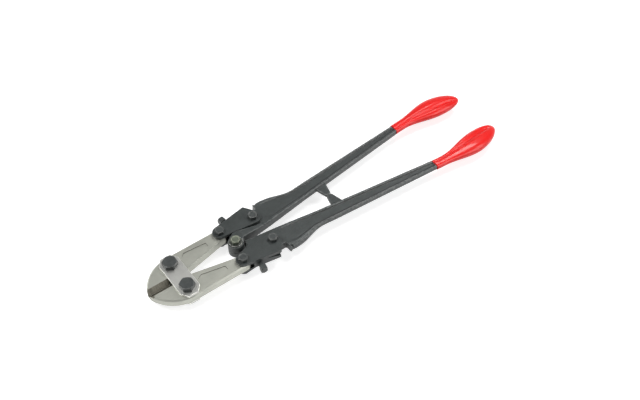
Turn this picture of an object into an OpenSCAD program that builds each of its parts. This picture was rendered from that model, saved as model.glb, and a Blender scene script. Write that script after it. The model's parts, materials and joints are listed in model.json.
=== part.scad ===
// Arm-adjusted bolt cutter, closed. Two centre-cut jaws turn on bolts held by two jaw plates. Each jaw tail
// is pinned to a pair of link plates, which carry a forged handle. The two handle noses overlap on one bolt.
// X runs from the jaw tips to the grips, Y to the left handle, Z along the bolts. Z = 0 is at the lower ends
// of the two jaw bolts, on which the tool rests.

/* [Overall] */
// Length from the jaw tips to the ends of the grips
overall_len = 610; // [560:1:760]
// Distance between the middles of the two grips at their widest
grip_spread = 98.6; // [90:0.2:130]
// Thickness of the jaws, and of the handles between the link plates
body_t = 13; // [10:0.5:17]

/* [Jaws] */
// Distance from the jaw tip back to the jaw bolt
jaw_reach = 49; // [42:0.5:60]
// Distance between the two jaw bolts
jaw_pitch = 46; // [42:0.5:60]
// Distance along the tool from the jaw bolt to the tail pin
jaw_tail_run = 86.2; // [75:0.1:120]
// Distance between the two tail pins
tail_pitch = 61.2; // [56:0.1:68]
// Radius of the rounded jaw tail
tail_r = 9.7; // [8:0.1:11]
// Radius of the curved outside of the jaw head
jaw_head_r = 55; // [50:0.5:75]
// Width of each ground bevel, measured on the jaw face
bevel_w = 7; // [4:0.5:10]
// Radius of the relief hole behind the cutting edges
relief_r = 4; // [2.5:0.25:5]
// Gap between the closed cutting edges
edge_gap = 0.3; // [0.2:0.1:1]
// Size of the chamfer on the outer edges of the jaws
jaw_chamfer = 2; // [0.5:0.1:3]
// Depth of the plain panel sunk in each jaw arm
panel_depth = 0.8; // [0.2:0.1:1.5]

/* [Jaw plates] */
// Width of the jaw plates along the tool
jaw_plate_w = 30.5; // [26:0.5:40]
// Thickness of the jaw plates
jaw_plate_t = 3.5; // [2:0.5:6]
// Distance that the jaw plates run past the bolt centres
jaw_plate_end = 16; // [13:0.5:20]
// Radius of the jaw bolt shanks
jaw_bolt_r = 6; // [4:0.25:7]
// Width across the flats of the jaw bolt heads and nuts
jaw_bolt_af = 20; // [17:0.5:24]

/* [Links] */
// Thickness of the link plates
link_t = 4.5; // [3:0.25:6]
// Distance along the tool from the tail pin to the handle bolt
link_run = 54; // [48:0.5:80]
// Distance between the two handle bolts
arm_pitch = 51.6; // [50:0.1:56]
// Radius of the upper link plate's end at the tail pin
link_tail_r = 10.5; // [9:0.25:11]
// Radius of the upper link plate's end at the handle bolt
link_arm_r = 12; // [10:0.25:13]
// Radius of the tail, handle and centre bolt shanks
pin_r = 4; // [3:0.25:4.5]
// Width across the flats of the small bolt heads and nuts
pin_af = 13; // [11:0.5:15]

/* [Centre joint] */
// Distance along the tool from the tail pins to the centre bolt
centre_run = 7.7; // [6:0.1:10]
// Radius of the two handle noses
nose_r = 11.5; // [10:0.25:12.5]
// Height above the middle plane at which the two noses meet
lap_z = 2; // [1:0.25:3]
// Thickness of each nose
nose_t = 10.35; // [8:0.25:12]
// Play round the centre bolt in the lower nose
centre_play = 2.7; // [2.5:0.1:3]
// Radius of the washers on the centre bolt
washer_r = 9.8; // [9.5:0.1:11]

/* [Handles] */
// Length of the grips
grip_len = 133; // [110:1:150]
// Thickness of the handle shanks
shank_t = 9; // [7:0.25:10]
// Width of the shank where the grip starts
shank_w = 14.7; // [12:0.1:18]
// Width of the rims beside the sunk faces of the shank
rim_w = 3.8; // [2.5:0.1:4.5]
// Depth of the sunk faces of the shank
sunk_depth = 1.9; // [0.5:0.1:2.2]
// Distance from the handle bolt back to the stop lugs
stop_run = 120; // [100:1:150]
// Thickness of the stop lugs between the handles
stop_t = 5; // [3:0.5:8]
// Gap between the two stop lugs when the tool is closed
stop_gap = 0.4; // [0.3:0.1:1]

/* [Grips] */
// Greatest width of a grip
grip_w = 37.6; // [30:0.2:44]
// Greatest thickness of a grip
grip_t = 20; // [16:0.5:26]
// Thickness of the coating at the mouth of a grip
grip_wall = 1.4; // [1:0.1:2.5]

/* [Hidden] */

// Clearances and small fixed sizes
pivot_fit = 0.05;
part_gap = 0.3;
over = 1;
edge_land = 0.5;
jaw_head_t = 7.5;
jaw_nut_t = 8;
jaw_thread_end = 1.5;
pin_head_t = 5.5;
pin_nut_t = 4.5;
pin_thread_end = 1;
washer_t = 1.8;
bolt_point = 0.8;
weld = 0.01;

// Heights, measured from the middle plane of the tool
half_t = body_t / 2;
plate_top = half_t + jaw_plate_t;
link_top = half_t + link_t;
mid_z = plate_top + jaw_nut_t + jaw_thread_end;
half_shank_t = shank_t / 2;

// Places of the jaw bolts, tail pins, handle bolts and centre bolt, for the left side
tip_x = -overall_len / 2;
end_x = overall_len / 2;
jaw_pin = [tip_x + jaw_reach, jaw_pitch / 2];
tail_pin = [jaw_pin[0] + jaw_tail_run, tail_pitch / 2];
arm_pin = [tail_pin[0] + link_run, arm_pitch / 2];
centre_pin = [tail_pin[0] + centre_run, 0];

// Outline of a jaw
half_gap = edge_gap / 2;
jaw_side_y = tail_pin[1] + tail_r;
head_c = [tip_x + sqrt(jaw_head_r * jaw_head_r - pow(jaw_head_r - jaw_side_y + half_gap, 2)),
    jaw_side_y - jaw_head_r];
tip_angle = atan2(half_gap - head_c[1], tip_x - head_c[0]);
heel_y = 2;
heel = [jaw_pin[0], heel_y];
tail_run = tail_pin - heel;
jaw_inner_angle = atan2(tail_run[1], tail_run[0]) - asin(tail_r / norm(tail_run));
plate_front_x = jaw_pin[0] - jaw_plate_w / 2 + 0.7;
relief_x = plate_front_x + relief_r / 2;

// Link plates: the lug side runs from the tail pin's round end to the lug corner
lug_corner = [arm_pin[0] - 2.5, arm_pin[1] + 22];
lug_corner_r = 2;
lug_w = 9;
lug_low = -4;
lug_front = 12;
pocket_front = 31;
pocket_h = 5.5;
pocket_drop = 0.6;
pocket_depth = 3;
lug_reach = lug_corner - tail_pin;
lug_len = norm(lug_reach) * cos(asin((link_tail_r - lug_corner_r) / norm(lug_reach)));
lug_angle = atan2(lug_reach[1], lug_reach[0]) - asin((link_tail_r - lug_corner_r) / norm(lug_reach));
lug_out = [-sin(lug_angle), cos(lug_angle)];
lug_along = [cos(lug_angle), sin(lug_angle)];
function lug_edge(run, depth) = tail_pin + lug_out * (link_tail_r - depth) + lug_along * run;

// Adjusting screw: square to the lug side, with its point on the flank of the handle
screw_r = 4;
screw_run = 21.5;
screw_head = 9;
screw_head_len = 8;
screw_stand = 6;
flank_depth = 16.5;

// Handle outline, left side, from the nose to the grip
grip_x = end_x - grip_len;
grip_mid_y = grip_spread / 2;
inner_start = [centre_pin[0] + 15, 1.5];
inner_end = [grip_x, grip_mid_y - shank_w / 2 - 0.5];
inner_slope = (inner_end[1] - inner_start[1]) / (inner_end[0] - inner_start[0]);
function inner_y(x) = inner_start[1] + inner_slope * (x - inner_start[0]);
notch_x = arm_pin[0] + 14.6;
notch_depth = 12;
hump_y = arm_pin[1] + 24.8;
hump_end_x = notch_x + 62;
hump_end_y = arm_pin[1] + 14.8;
shank_out_y = inner_end[1] + shank_w;
outer_slope = (shank_out_y - hump_end_y) / (grip_x - hump_end_x);
function outer_y(x) = hump_end_y + outer_slope * (x - hump_end_x);
nose_relief_r = nose_r + 3;
tail_relief_r = tail_r + 1;
stop_x = arm_pin[0] + stop_run;
stop_root = 20;
stop_tip_w = 8;

// Tang of the handle inside the grip
tang_len = grip_len - 30;
tang_w = shank_w - 2;
tang_t = shank_t - 2;
tang_y = (inner_end[1] + shank_out_y) / 2;

// Grip: swells from its mouth to its widest place, then closes in a half ellipse
grip_lean = 0.1;
grip_tip_in = 6.2;
grip_bend = (grip_lean * grip_len + grip_tip_in) / (grip_len * grip_len);
swell_start = 18;
swell_end = grip_len - 48;
mouth_w = shank_w + 2 * grip_wall;
mouth_t = shank_t + 2 * grip_wall;

function arc(c, r, a0, a1, n = 24) =
    [for (i = [0:n]) let (a = a0 + (a1 - a0) * i / n) c + r * [cos(a), sin(a)]];

// ---------- Fasteners ----------

// Six-sided head or nut with its corners turned off, standing on Z = 0
module hex_body(af, h, both = false) {
    corner_r = af / sqrt(3);
    turn = (corner_r - af / 2) * 0.6;
    intersection() {
        cylinder(r = corner_r, h = h, $fn = 6);
        rotate_extrude($fn = 64)
            polygon([
                [0, 0], [both ? af / 2 : corner_r + over, 0],
                [corner_r + (both ? 0 : over), both ? turn : 0],
                [corner_r, h - turn], [af / 2 - 0.1, h], [0, h]
            ]);
    }
}

// Bolt standing head up, with the underside of its head at Z = 0 and its shank below
module hex_bolt(af, head_h, r, shank) {
    hex_body(af, head_h);
    translate([0, 0, -shank + bolt_point])
        cylinder(r = r, h = shank - bolt_point + weld, $fn = 64);
    translate([0, 0, -shank])
        cylinder(r1 = r - bolt_point, r2 = r, h = bolt_point, $fn = 64);
}

// Nut with its top face at Z = 0
module hex_nut(af, h, r) {
    difference() {
        translate([0, 0, -h])
            hex_body(af, h, true);
        translate([0, 0, -h - over])
            cylinder(r = r + pivot_fit, h = h + 2 * over, $fn = 64);
    }
}

module at_pin(p, z) {
    translate([p[0], p[1], mid_z + z])
        children();
}

module both_faces() {
    children();
    mirror([0, 0, 1])
        children();
}

// ---------- Jaws ----------

module jaw_outline() {
    polygon(concat(
        arc(head_c, jaw_head_r, tip_angle, 90, 40),
        arc(tail_pin, tail_r, 90, jaw_inner_angle - 90, 32),
        [heel, [relief_x, heel_y], [relief_x, half_gap]]
    ));
}

// Ground bevels that meet in a narrow land at the middle plane
module jaw_bevels() {
    bevel_len = relief_x - tip_x + over;
    both_faces()
        translate([tip_x - over, 0, 0])
            rotate([90, 0, 90])
                linear_extrude(bevel_len)
                    polygon([[-over, edge_land / 2], [half_gap, edge_land / 2],
                        [half_gap + bevel_w, half_t], [half_gap + bevel_w, half_t + over],
                        [-over, half_t + over]]);
}

// Chamfer along the outer edge: a turned cut round the head and a straight cut back to the tail
module jaw_chamfers() {
    c = jaw_chamfer;
    both_faces() {
        intersection() {
            translate([head_c[0], head_c[1], 0])
                rotate_extrude($fn = 160)
                    polygon([[jaw_head_r - c, half_t], [jaw_head_r + over, half_t - c - over],
                        [jaw_head_r + over, half_t + over], [jaw_head_r - c, half_t + over]]);
            translate([tip_x - over, half_gap, 0])
                cube([head_c[0] - tip_x + over, jaw_side_y, body_t]);
        }
        translate([head_c[0], 0, 0])
            rotate([90, 0, 90])
                linear_extrude(tail_pin[0] - head_c[0] + tail_r + over)
                    polygon([[jaw_side_y - c, half_t], [jaw_side_y + over, half_t - c - over],
                        [jaw_side_y + over, half_t + over], [jaw_side_y - c, half_t + over]]);
    }
}

// Plain sunk panel on the faces of the jaw arm
module jaw_panels() {
    x0 = plate_front_x + jaw_plate_w + 3.5;
    x1 = x0 + jaw_tail_run * 0.485;
    y0 = heel_y + (x0 - heel[0]) * tan(jaw_inner_angle) + 8.5;
    y1 = heel_y + (x1 - heel[0]) * tan(jaw_inner_angle) + 7;
    top = jaw_side_y - 8.3;
    both_faces()
        translate([0, 0, half_t - panel_depth])
            linear_extrude(panel_depth + over)
                polygon([[x0, y0 + 4], [x0 + 7, y0], [x1, y1], [x1, top - 2.8], [x0 + 7, top],
                    [x0, top - 6]]);
}

module jaw() {
    translate([0, 0, mid_z])
        difference() {
            translate([0, 0, -half_t])
                linear_extrude(body_t)
                    jaw_outline();
            jaw_bevels();
            jaw_chamfers();
            jaw_panels();
            translate([relief_x, 0, -half_t - over])
                cylinder(r = relief_r, h = body_t + 2 * over, $fn = 64);
            translate([jaw_pin[0], jaw_pin[1], -half_t - over])
                cylinder(r = jaw_bolt_r + pivot_fit, h = body_t + 2 * over, $fn = 64);
            translate([tail_pin[0], tail_pin[1], -half_t - over])
                cylinder(r = pin_r + pivot_fit, h = body_t + 2 * over, $fn = 64);
        }
}

module jaw_plate() {
    half_y = jaw_pin[1] + jaw_plate_end;
    x0 = plate_front_x;
    x1 = plate_front_x + jaw_plate_w;
    cut_x = jaw_plate_w / 4;
    cut_y = jaw_plate_end * 0.6;
    linear_extrude(jaw_plate_t)
        difference() {
            polygon([
                [x0, -half_y + cut_y], [x0 + cut_x, -half_y], [x1 - cut_x, -half_y], [x1, -half_y + cut_y],
                [x1, half_y - cut_y], [x1 - cut_x, half_y], [x0 + cut_x, half_y], [x0, half_y - cut_y]
            ]);
            for (side = [-1, 1])
                translate([jaw_pin[0], side * jaw_pin[1]])
                    circle(r = jaw_bolt_r + pivot_fit, $fn = 64);
        }
}

// ---------- Link plates ----------

module link_holes() {
    for (p = [tail_pin, arm_pin])
        translate([p[0], p[1]])
            circle(r = pin_r + pivot_fit, $fn = 64);
}

module link_upper_outline() {
    hull() {
        translate([tail_pin[0], tail_pin[1]])
            circle(r = link_tail_r, $fn = 64);
        translate([arm_pin[0], arm_pin[1]])
            circle(r = link_arm_r, $fn = 64);
        translate([lug_corner[0], lug_corner[1]])
            circle(r = lug_corner_r, $fn = 24);
    }
}

// Upper plate with the lug for the adjusting screw under its outer side
module link_upper() {
    translate([0, 0, mid_z])
        difference() {
            union() {
                translate([0, 0, half_t])
                    linear_extrude(link_t)
                        difference() {
                            link_upper_outline();
                            link_holes();
                        }
                translate([0, 0, lug_low])
                    linear_extrude(half_t - lug_low + weld)
                        polygon([lug_edge(lug_front, 0), lug_edge(lug_len, 0), lug_edge(lug_len, lug_w),
                            lug_edge(lug_front, lug_w - 2)]);
            }
            adjusting_axis()
                translate([0, 0, -2 * lug_w])
                    cylinder(r = screw_r + pivot_fit, h = 3 * lug_w, $fn = 64);
            lug_pocket();
        }
}

// Three-sided pocket under the plate, in the outer face of the lug
module lug_pocket() {
    start = lug_edge(0, -over);
    pocket_top = half_t - pocket_drop;
    translate([start[0], start[1], 0])
        rotate([90, 0, lug_angle])
            linear_extrude(pocket_depth + over)
                polygon([[pocket_front, pocket_top], [lug_len + over, pocket_top],
                    [lug_len + over, pocket_top - pocket_h]]);
}

module link_lower() {
    translate([0, 0, mid_z - link_top])
        linear_extrude(link_t)
            difference() {
                hull() {
                    translate([tail_pin[0], tail_pin[1]])
                        circle(r = link_tail_r - 1, $fn = 64);
                    translate([arm_pin[0], arm_pin[1]])
                        circle(r = link_arm_r - 1, $fn = 64);
                }
                link_holes();
            }
}

// Stands children with their Z axis along the adjusting screw, pointing out of the lug
module adjusting_axis() {
    start = lug_edge(screw_run, 0);
    translate([start[0], start[1], 0])
        rotate([-90, 0, lug_angle])
            children();
}

module adjusting_screw() {
    translate([0, 0, mid_z])
        adjusting_axis() {
            translate([0, 0, -flank_depth])
                cylinder(r = screw_r, h = flank_depth + screw_stand, $fn = 64);
            translate([-screw_head / 2, -screw_head / 2, screw_stand])
                cube([screw_head, screw_head, screw_head_len]);
        }
}

// ---------- Handles and grips ----------

module handle_outline() {
    polygon([
        inner_start, inner_end, [grip_x, shank_out_y],
        [hump_end_x, hump_end_y], [notch_x + 51, hump_end_y + 1.4], [notch_x + 40, hump_end_y + 4.4],
        [notch_x + 27, hump_y - 1.6], [notch_x + 13, hump_y], [notch_x, hump_y - 1],
        [notch_x - 1, hump_y - notch_depth], [notch_x - 9, hump_y - notch_depth],
        [notch_x - 11, hump_y - notch_depth - 1],
        lug_edge(50, flank_depth), lug_edge(14, flank_depth),
        [tail_pin[0] + 10, tail_pin[1] - 9], [centre_pin[0] - 3, nose_r - 1], [centre_pin[0], 1.5]
    ]);
}

// Narrow part of the handle that carries the nose past the link plates
module neck_outline() {
    x1 = arm_pin[0] + 6;
    polygon([
        [centre_pin[0], -2], [centre_pin[0] + nose_r - 0.5, -1], inner_start, [x1, inner_y(x1)],
        [x1, arm_pin[1] - link_arm_r - 2], [arm_pin[0] - 1, arm_pin[1] - link_arm_r - 1.8],
        [centre_pin[0] + 6, tail_pin[1] - link_tail_r - 3.3], [centre_pin[0] - 4, nose_r - 1]
    ]);
}

// Side view of the forging, cut from a block: full thickness at the head, thinner along the shank by an inset
module side_profile(inset) {
    h0 = half_t;
    h1 = half_shank_t - inset;
    x0 = centre_pin[0] - nose_r - over;
    x1 = notch_x + (inset > 0 ? 4 : 10);
    x2 = hump_end_x + 8;
    rotate([90, 0, 0])
        linear_extrude(2 * end_x, center = true)
            polygon([
                [x0, -h0], [x1, -h0], [x2, -h1], [end_x, -h1], [end_x, h1], [x2, h1], [x1, h0], [x0, h0]
            ]);
}

// Side view of the neck: as high as the nose at the centre bolt, flush with the head at the handle bolt
module neck_profile() {
    x0 = centre_pin[0] - nose_r - over;
    x1 = centre_pin[0] + nose_r;
    x2 = arm_pin[0] + 6;
    h = lap_z + nose_t + over;
    rotate([90, 0, 0])
        linear_extrude(2 * end_x, center = true)
            polygon([[x0, -h], [x1, -h], [x2, -half_t], [x2, half_t], [x1, h], [x0, h]]);
}

module sunk_outline() {
    x0 = notch_x + 4;
    x1 = hump_end_x + 8;
    x2 = grip_x + over;
    polygon([
        [x0, inner_y(x0) + rim_w], [x2, inner_y(x2) + rim_w], [x2, outer_y(x2) - rim_w],
        [x1, outer_y(x1) - rim_w], [hump_end_x - 12, hump_end_y + 0.6 - rim_w],
        [hump_end_x - 24, hump_end_y + 3.4 - rim_w], [x0 + 14, hump_y - rim_w - 3.4], [x0, hump_y - rim_w - 4]
    ]);
}

module tang() {
    translate([0, 0, -tang_t / 2])
        linear_extrude(tang_t)
            polygon([[grip_x - over, tang_y - tang_w / 2], [grip_x + tang_len, tang_y - tang_w / 2],
                [grip_x + tang_len, tang_y + tang_w / 2], [grip_x - over, tang_y + tang_w / 2]]);
}

module stop_lug() {
    root = inner_y(stop_x);
    low = stop_gap / 2;
    half_tip = stop_tip_w / 2;
    translate([0, 0, -stop_t / 2])
        linear_extrude(stop_t)
            polygon([[stop_x - stop_root / 2, root + 1], [stop_x - half_tip - 1, low + 1.5],
                [stop_x - half_tip, low], [stop_x + half_tip - 1, low], [stop_x + half_tip + 0.5, low + 1.5],
                [stop_x + stop_root / 2, root + 2.5]]);
}

// nose_z is the underside of this handle's nose, room_z the underside of the room for the other nose
module handle(nose_z, room_z, bore_r) {
    room_h = nose_t + 2 * over;
    tall = 4 * body_t;
    translate([0, 0, mid_z])
        difference() {
            union() {
                difference() {
                    intersection() {
                        linear_extrude(body_t, center = true)
                            handle_outline();
                        side_profile(0);
                    }
                    difference() {
                        linear_extrude(2 * body_t, center = true)
                            sunk_outline();
                        side_profile(sunk_depth);
                    }
                    translate([centre_pin[0], 0, room_z])
                        cylinder(r = nose_relief_r, h = room_h, $fn = 96);
                }
                translate([centre_pin[0], 0, nose_z])
                    cylinder(r = nose_r, h = nose_t, $fn = 96);
                intersection() {
                    translate([0, 0, nose_z])
                        linear_extrude(nose_t)
                            neck_outline();
                    neck_profile();
                }
                stop_lug();
                tang();
            }
            translate([tail_pin[0], tail_pin[1], 0])
                cylinder(r = tail_relief_r, h = tall, center = true, $fn = 96);
            translate([centre_pin[0], 0, 0])
                cylinder(r = bore_r, h = tall, center = true, $fn = 64);
            translate([arm_pin[0], arm_pin[1], 0])
                cylinder(r = pin_r + pivot_fit, h = tall, center = true, $fn = 64);
        }
}

// Middle line, half width and half thickness of the grip at a distance d from its mouth
function ease(t) = t <= 0 ? 0 : t >= 1 ? 1 : t * t * (3 - 2 * t);
function grip_swell(d) = ease((d - swell_start) / (swell_end - swell_start));
function grip_close(d) = d <= swell_end ? 1
    : sqrt(max(0, 1 - pow((d - swell_end) / (grip_len - swell_end), 2)));
function grip_y(d) = tang_y + grip_lean * d - grip_bend * d * d;
function grip_half_w(d) = (mouth_w + (grip_w - mouth_w) * grip_swell(d)) / 2 * grip_close(d);
function grip_half_t(d) = (mouth_t + (grip_t - mouth_t) * grip_swell(d)) / 2 * grip_close(d);
function soft(v) = sign(v) * pow(abs(v), 0.85);

module grip() {
    along = 30;
    around = 28;
    stations = [for (i = [0:along - 1]) grip_len * sin(90 * i / along)];
    rings = [for (d = stations) for (j = [0:around - 1]) let (a = 360 * j / around)
        [grip_x + d, grip_y(d) + grip_half_w(d) * soft(cos(a)), grip_half_t(d) * soft(sin(a))]];
    ends = [[grip_x, grip_y(0), 0], [grip_x + grip_len, grip_y(grip_len), 0]];
    first = len(rings);
    last_ring = (along - 1) * around;
    sides = [for (i = [0:along - 2]) for (j = [0:around - 1]) let (k = (j + 1) % around)
        [i * around + j, (i + 1) * around + j, (i + 1) * around + k, i * around + k]];
    mouth = [for (j = [0:around - 1]) [first, j, (j + 1) % around]];
    tip = [for (j = [0:around - 1]) [first + 1, last_ring + (j + 1) % around, last_ring + j]];
    translate([0, 0, mid_z])
        difference() {
            polyhedron(points = concat(rings, ends), faces = concat(sides, mouth, tip), convexity = 6);
            tang();
        }
}

// ---------- Sub-parts ----------

jaw_shank = 2 * plate_top + jaw_nut_t + jaw_thread_end;
pin_shank = 2 * link_top + pin_nut_t + pin_thread_end;
centre_low = lap_z - part_gap / 2 - nose_t;
centre_high = lap_z + part_gap / 2 + nose_t;
centre_shank = centre_high - centre_low + 2 * washer_t + pin_nut_t + pin_thread_end;

module right_side() {
    mirror([0, 1, 0])
        children();
}

module jaw_left() { color("silver") jaw(); }
module jaw_right() { color("silver") right_side() jaw(); }
module jaw_plate_upper() { color("lightgray") at_pin([0, 0], half_t) jaw_plate(); }
module jaw_plate_lower() { color("lightgray") at_pin([0, 0], -plate_top) jaw_plate(); }
module jaw_bolt() {
    color("dimgray")
        at_pin(jaw_pin, plate_top)
            hex_bolt(jaw_bolt_af, jaw_head_t, jaw_bolt_r, jaw_shank);
}
module jaw_bolt_left() { jaw_bolt(); }
module jaw_bolt_right() { right_side() jaw_bolt(); }
module jaw_nut() {
    color("dimgray")
        at_pin(jaw_pin, -plate_top)
            hex_nut(jaw_bolt_af, jaw_nut_t, jaw_bolt_r);
}
module jaw_nut_left() { jaw_nut(); }
module jaw_nut_right() { right_side() jaw_nut(); }
module link_upper_left() { color("darkslategray") link_upper(); }
module link_upper_right() { color("darkslategray") right_side() link_upper(); }
module link_lower_left() { color("darkslategray") link_lower(); }
module link_lower_right() { color("darkslategray") right_side() link_lower(); }
module link_bolt(p) {
    color("dimgray")
        at_pin(p, link_top)
            hex_bolt(pin_af, pin_head_t, pin_r, pin_shank);
}
module link_nut(p) {
    color("dimgray")
        at_pin(p, -link_top)
            hex_nut(pin_af, pin_nut_t, pin_r);
}
module tail_bolt_left() { link_bolt(tail_pin); }
module tail_bolt_right() { right_side() link_bolt(tail_pin); }
module tail_nut_left() { link_nut(tail_pin); }
module tail_nut_right() { right_side() link_nut(tail_pin); }
module handle_bolt_left() { link_bolt(arm_pin); }
module handle_bolt_right() { right_side() link_bolt(arm_pin); }
module handle_nut_left() { link_nut(arm_pin); }
module handle_nut_right() { right_side() link_nut(arm_pin); }
module centre_bolt() {
    color("darkkhaki")
        at_pin(centre_pin, centre_high + washer_t)
            hex_bolt(pin_af, pin_head_t, pin_r, centre_shank);
}
module centre_washer() {
    difference() {
        cylinder(r = washer_r, h = washer_t, $fn = 96);
        translate([0, 0, -over])
            cylinder(r = pin_r + pivot_fit, h = washer_t + 2 * over, $fn = 64);
    }
}
module centre_washer_upper() { color("gray") at_pin(centre_pin, centre_high) centre_washer(); }
module centre_washer_lower() { color("gray") at_pin(centre_pin, centre_low - washer_t) centre_washer(); }
module centre_nut() {
    color("dimgray")
        at_pin(centre_pin, centre_low - washer_t)
            hex_nut(pin_af, pin_nut_t, pin_r);
}
module adjusting_screw_left() { color("dimgray") adjusting_screw(); }
module adjusting_screw_right() { color("dimgray") right_side() adjusting_screw(); }
module handle_left() {
    color("darkslategray")
        handle(lap_z + part_gap / 2, lap_z + part_gap / 2 - nose_t - 2 * over, pin_r + pivot_fit);
}
module handle_right() {
    color("darkslategray")
        right_side()
            handle(centre_low, lap_z - part_gap / 2, pin_r + centre_play);
}
module grip_left() { color("red") grip(); }
module grip_right() { color("red") right_side() grip(); }

jaw_left();
jaw_right();
jaw_plate_upper();
jaw_plate_lower();
jaw_bolt_left();
jaw_bolt_right();
jaw_nut_left();
jaw_nut_right();
link_upper_left();
link_upper_right();
link_lower_left();
link_lower_right();
tail_bolt_left();
tail_bolt_right();
tail_nut_left();
tail_nut_right();
handle_bolt_left();
handle_bolt_right();
handle_nut_left();
handle_nut_right();
centre_bolt();
centre_washer_upper();
centre_washer_lower();
centre_nut();
adjusting_screw_left();
adjusting_screw_right();
handle_left();
handle_right();
grip_left();
grip_right();
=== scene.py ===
"""Bolt cutters: turned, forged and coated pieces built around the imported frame."""

import json
import math

import bmesh
import bpy
import numpy as np
from bpy.props import FloatProperty, FloatVectorProperty, IntProperty, PointerProperty
from bpy.types import Operator, Panel, PropertyGroup
from mathutils import Matrix, Vector


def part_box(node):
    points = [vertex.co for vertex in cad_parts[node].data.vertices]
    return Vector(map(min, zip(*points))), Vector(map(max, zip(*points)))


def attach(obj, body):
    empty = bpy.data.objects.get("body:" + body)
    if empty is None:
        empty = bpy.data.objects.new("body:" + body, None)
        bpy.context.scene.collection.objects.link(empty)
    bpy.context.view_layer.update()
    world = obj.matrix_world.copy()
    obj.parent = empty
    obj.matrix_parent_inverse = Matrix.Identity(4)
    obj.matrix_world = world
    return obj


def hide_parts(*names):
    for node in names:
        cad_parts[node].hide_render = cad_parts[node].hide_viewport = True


bl_info = {
    "name": "Bolt Cutters",
    "version": (1, 0, 0),
    "blender": (4, 5, 0),
    "location": "View3D > Sidebar > Bolt Cutters",
    "description": "Finished surfaces for a pair of bolt cutters",
    "category": "Add Mesh",
}

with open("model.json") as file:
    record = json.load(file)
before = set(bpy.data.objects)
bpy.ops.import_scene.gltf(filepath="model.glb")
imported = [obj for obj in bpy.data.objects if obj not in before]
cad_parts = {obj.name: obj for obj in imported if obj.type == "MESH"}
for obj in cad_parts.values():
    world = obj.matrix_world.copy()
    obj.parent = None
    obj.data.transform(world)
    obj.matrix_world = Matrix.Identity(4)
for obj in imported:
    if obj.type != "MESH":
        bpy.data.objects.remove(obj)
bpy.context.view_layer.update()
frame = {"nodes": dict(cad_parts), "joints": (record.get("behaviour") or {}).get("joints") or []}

MM = 0.001
SIDES = ("left", "right")
JOINTS = {joint["name"]: joint for joint in frame["joints"]}
MID_Z = JOINTS["jaw_left_hinge"]["pos_m"][2]
WEAR = "edge_wear"
# Attribute that masks the painted shade in the forgings' creases.
CREASE_SHADE = "corner_grime"
PANEL_WALL = 0.6 * MM
FULL_WEAR = 0.13 * MM
# Sink depth at which the painted shade in creases is full.
FULL_CREASE_SHADE = 0.03 * MM
GRIP_AROUND = 96
GRIP_RINGS = 110
FLOOR_GREY = 0.6
FLOOR_GLOW = 0.74
SKY_LIGHT = 0.09
SKY_SEEN_OVERHEAD = 0.42
LAMPS = (
    ("head", (-0.8, 0.35, 1.25), 0.6, 13),
    ("tail", (0.75, 0.2, 1.5), 0.6, 13),
    ("near", (0.9, -1.1, 0.75), 0.9, 11),
)


# ---------------------------------------------------------------- settings


class BoltCutterColours(PropertyGroup):
    nickel: FloatVectorProperty(
        name="Jaws", description="Satin nickel of the jaws", subtype="COLOR", default=(0.40, 0.405, 0.36))
    plate: FloatVectorProperty(
        name="Jaw plates", description="Plated steel of the jaw plates", subtype="COLOR",
        default=(0.5, 0.5, 0.475))
    ground: FloatVectorProperty(
        name="Ground edges", description="Bare steel of the cutting bevels", subtype="COLOR",
        default=(0.2, 0.19, 0.155))
    black: FloatVectorProperty(
        name="Forgings", description="Black finish of handles and links", subtype="COLOR",
        default=(0.029, 0.035, 0.034))
    oxide: FloatVectorProperty(
        name="Bolts", description="Black oxide of bolts and nuts", subtype="COLOR", default=(0.05, 0.056, 0.055))
    olive: FloatVectorProperty(
        name="Centre bolt", description="Olive zinc of the centre bolt", subtype="COLOR",
        default=(0.135, 0.152, 0.118))
    zinc: FloatVectorProperty(
        name="Washers", description="Dull zinc of the washers", subtype="COLOR", default=(0.09, 0.095, 0.088))
    red: FloatVectorProperty(
        name="Grips", description="Dipped coating of the grips", subtype="COLOR", default=(0.8, 0.008, 0.006))


class BoltCutterForging(PropertyGroup):
    grain: FloatProperty(
        name="Mesh size", description="Edge length of the forging's mesh", unit="LENGTH", default=0.65 * MM,
        min=0.4 * MM, max=3 * MM)
    smoothing: IntProperty(
        name="Smoothing", description="Passes that round the forging's edges", default=3, min=0, max=30)
    shoulder: FloatProperty(
        name="Shoulder", description="Radius along the outer edge of the head", unit="LENGTH",
        default=5 * MM, min=0, max=6 * MM)


class BoltCutterEdges(PropertyGroup):
    jaw: FloatProperty(
        name="Jaw edges", description="Width of the edge breaks on the jaws", unit="LENGTH", default=0.7 * MM,
        min=0, max=2 * MM)
    cutting: FloatProperty(
        name="Cutting edges", description="Width of the edge breaks near the cutting edges", unit="LENGTH",
        default=0.12 * MM, min=0, max=1 * MM)
    plate: FloatProperty(
        name="Plate edges", description="Width of the edge breaks on plates and links", unit="LENGTH",
        default=0.6 * MM, min=0, max=2 * MM)
    bolt: FloatProperty(
        name="Bolt edges", description="Width of the edge breaks on bolt heads and nuts", unit="LENGTH",
        default=0.25 * MM, min=0, max=1 * MM)


class BoltCutterThreads(PropertyGroup):
    jaw_pitch: FloatProperty(
        name="Jaw bolt pitch", description="Thread pitch of the jaw bolts", unit="LENGTH", default=1.75 * MM,
        min=0.5 * MM, max=3 * MM)
    pin_pitch: FloatProperty(
        name="Small bolt pitch", description="Thread pitch of the small bolts", unit="LENGTH",
        default=1.25 * MM, min=0.5 * MM, max=3 * MM)
    depth_share: FloatProperty(
        name="Depth", description="Thread depth as a share of its pitch", subtype="FACTOR", default=0.45,
        min=0.1, max=0.5)


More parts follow.
